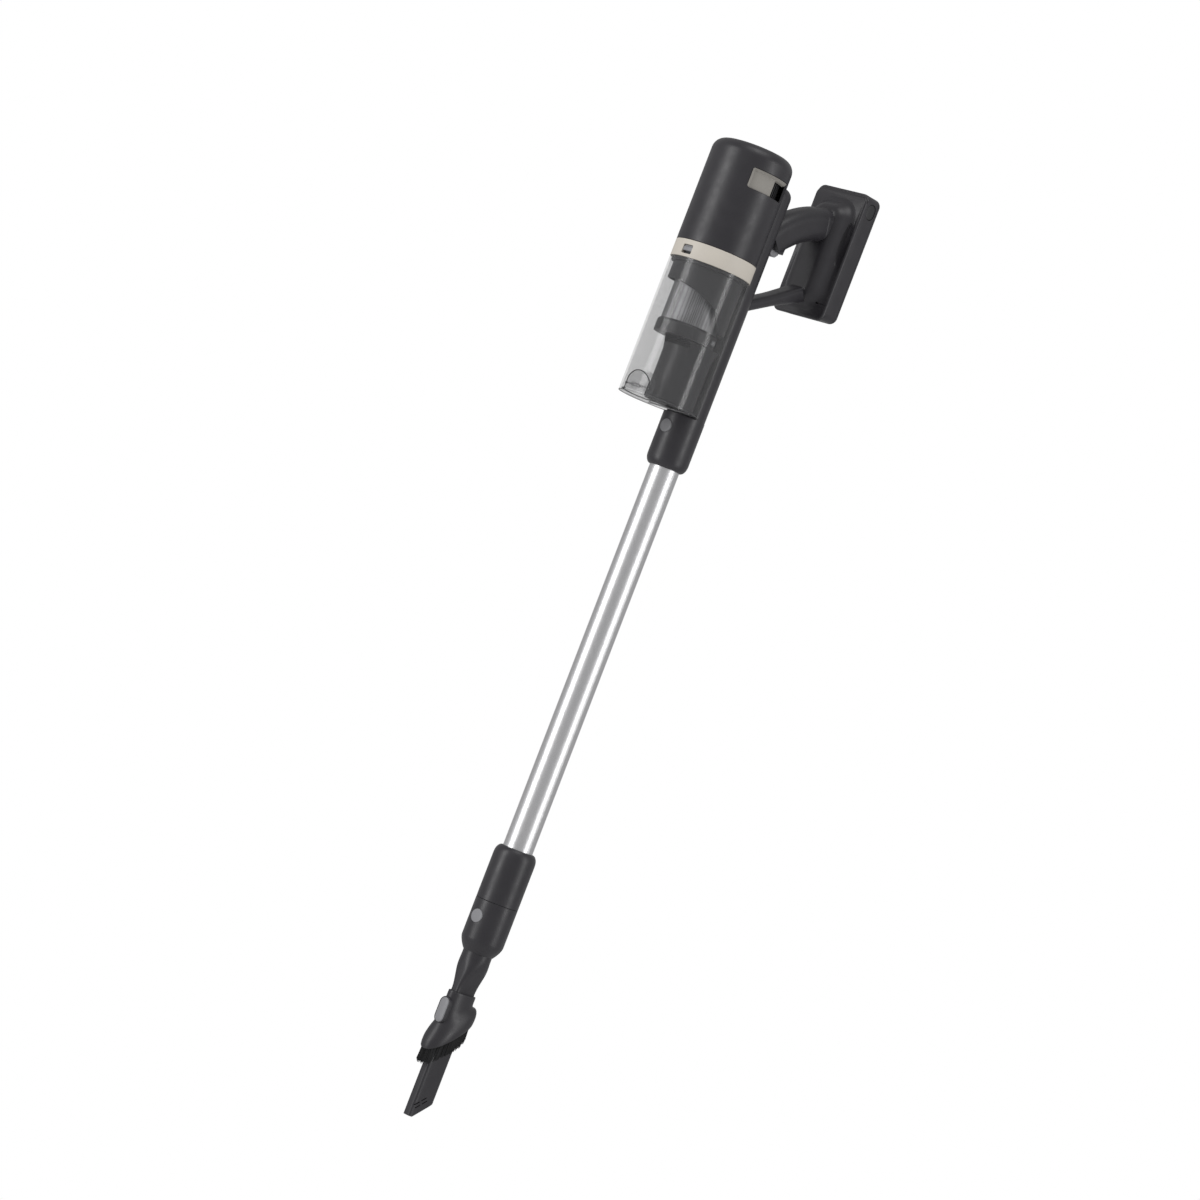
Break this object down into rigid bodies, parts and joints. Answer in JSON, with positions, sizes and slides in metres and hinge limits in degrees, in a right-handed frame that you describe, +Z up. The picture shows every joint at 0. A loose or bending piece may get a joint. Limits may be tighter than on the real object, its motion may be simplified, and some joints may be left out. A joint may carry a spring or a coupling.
{
  "type": "cordless stick vacuum",
  "caption": "Cordless stick vacuum: motor unit with clear dust cup, looped handle and flat battery, metal wand, crevice nozzle with sliding brush.",
  "frame": {"origin": "on the wand's axis, at the level of the crevice nozzle's tip", "axes": "+Z up the wand to the motor housing, +Y to the rear (handle and battery), -Y to the front (dust cup and buttons); the model is symmetric about X = 0"},
  "size_m": [0.095, 0.2388, 1.1577],
  "materials": {
    "charcoal": "fine moulded grain, satin",
    "dark": "fine moulded grain",
    "beige": "smooth satin",
    "grey": "smooth satin",
    "grey_dark": "smooth satin",
    "shroud": "polished",
    "clear_cup": "smoky clear moulding",
    "mesh": "fine perforated screen",
    "tube": "fine blasted and clear anodised",
    "rubber": "matte",
    "filter_paper": "pleated",
    "foam": "open foam",
    "cast_alloy": "as machined",
    "steel": "bright",
    "copper": "enamelled winding",
    "board": "solder mask",
    "bristle": "stiff nylon",
    "cell_wrap": "shrink wrap over the can"
  },
  "bodies": {
    "main_body": {"motor_housing": "charcoal", "exhaust_liner": "beige", "exhaust_grille": "dark", "exhaust_filter": "filter_paper", "fan_cover": "cast_alloy", "motor_can": "cast_alloy", "motor_stator": "copper", "motor_bearings": "steel", "motor_mount": "rubber", "control_board": "board", "spine": "charcoal", "inlet_seal": "rubber", "handle_left": "charcoal", "handle_right": "charcoal", "handle_screws": "steel", "brace": "charcoal", "dock_plate": "charcoal", "dock_contacts": "copper", "trigger_pin": "steel", "trigger_switch": "dark", "trigger_spring": "steel", "wand_button_spring": "steel"},
    "fan": {"impeller": "cast_alloy", "motor_shaft": "steel"},
    "trigger": {"trigger": "grey"},
    "wand_button": {"wand_button": "grey_dark"},
    "cup": {"cup_ring": "beige", "dust_cup": "clear_cup", "cyclone_shroud": "shroud", "mesh_screen": "mesh", "cyclone_collar": "shroud", "cyclone_body": "shroud", "pre_filter": "foam", "cup_seal": "rubber", "lid_pin": "steel", "latch_pin": "steel", "latch_spring": "steel"},
    "cup_release": {"cup_release": "grey"},
    "lid": {"cup_lid": "clear_cup", "lid_seal": "rubber"},
    "lid_latch": {"lid_latch": "clear_cup"},
    "wand": {"wand_tube": "tube", "wand_end_cap": "dark", "coupling_upper": "charcoal", "coupling_lower": "charcoal", "wand_contacts": "copper", "tool_button_spring": "steel"},
    "tool_button": {"tool_button": "grey"},
    "tool": {"nozzle": "charcoal"},
    "brush": {"brush_carriage": "charcoal", "bristles": "bristle"},
    "brush_button": {"brush_button": "grey"},
    "battery": {"battery_case": "charcoal", "battery_cover": "charcoal", "battery_cells": "cell_wrap", "cell_straps": "steel", "battery_board": "board", "charge_jack": "dark"},
    "battery_latch_left": {"battery_latch_left": "dark"},
    "battery_latch_right": {"battery_latch_right": "dark"}
  },
  "joints": [
    {"name": "fan_spin", "type": "hinge", "parent": "main_body", "child": "fan", "pos_m": [0, -0.0483, 1.05], "axis": [0, 0, 1], "continuous": true},
    {"name": "trigger_pull", "type": "hinge", "parent": "main_body", "child": "trigger", "pos_m": [0, 0.031, 1.066], "axis": [1, 0, 0], "range_deg": [0, 6], "stiffness_Nm_per_rad": 0.2, "springref_deg": -5.73, "deforming": ["trigger_spring"]},
    {"name": "wand_release", "type": "slide", "parent": "main_body", "child": "wand_button", "axis": [0, 1, 0], "range_m": [0, 0.002], "stiffness_N_per_m": 600, "springref_m": -0.002, "deforming": ["wand_button_spring"]},
    {"name": "cup_off", "type": "slide", "parent": "main_body", "child": "cup", "axis": [0, -1, 0], "range_m": [0, 0.11]},
    {"name": "cup_release_pull", "type": "slide", "parent": "cup", "child": "cup_release", "axis": [0, 0, -1], "range_m": [0, 0.003], "stiffness_N_per_m": 600, "springref_m": -0.002},
    {"name": "lid_open", "type": "hinge", "parent": "cup", "child": "lid", "pos_m": [0, -0.029, 0.8411], "axis": [1, 0, 0], "range_deg": [0, 90]},
    {"name": "lid_latch_press", "type": "hinge", "parent": "cup", "child": "lid_latch", "pos_m": [0, -0.0908, 0.8485], "axis": [-1, 0, 0], "range_deg": [0, 6], "stiffness_Nm_per_rad": 0.1, "springref_deg": -5.73},
    {"name": "wand_off", "type": "slide", "parent": "main_body", "child": "wand", "axis": [0, 0, -1], "range_m": [0, 0.06]},
    {"name": "tool_release", "type": "slide", "parent": "wand", "child": "tool_button", "axis": [0, 1, 0], "range_m": [0, 0.002], "stiffness_N_per_m": 600, "springref_m": -0.002, "deforming": ["tool_button_spring"]},
    {"name": "tool_off", "type": "slide", "parent": "wand", "child": "tool", "axis": [0, 0, -1], "range_m": [0, 0.04]},
    {"name": "brush_slide", "type": "slide", "parent": "tool", "child": "brush", "axis": [0, 0, -1], "range_m": [0, 0.07]},
    {"name": "brush_release", "type": "slide", "parent": "brush", "child": "brush_button", "axis": [0, 1, 0], "range_m": [0, 0.002], "stiffness_N_per_m": 600, "springref_m": -0.002},
    {"name": "battery_off", "type": "slide", "parent": "main_body", "child": "battery", "axis": [0, 1, 0], "range_m": [0, 0.04]},
    {"name": "battery_latch_left_press", "type": "slide", "parent": "battery", "child": "battery_latch_left", "axis": [1, 0, 0], "range_m": [0, 0.002], "stiffness_N_per_m": 600, "springref_m": -0.002},
    {"name": "battery_latch_right_press", "type": "slide", "parent": "battery", "child": "battery_latch_right", "axis": [-1, 0, 0], "range_m": [0, 0.002], "stiffness_N_per_m": 600, "springref_m": -0.002}
  ]
}
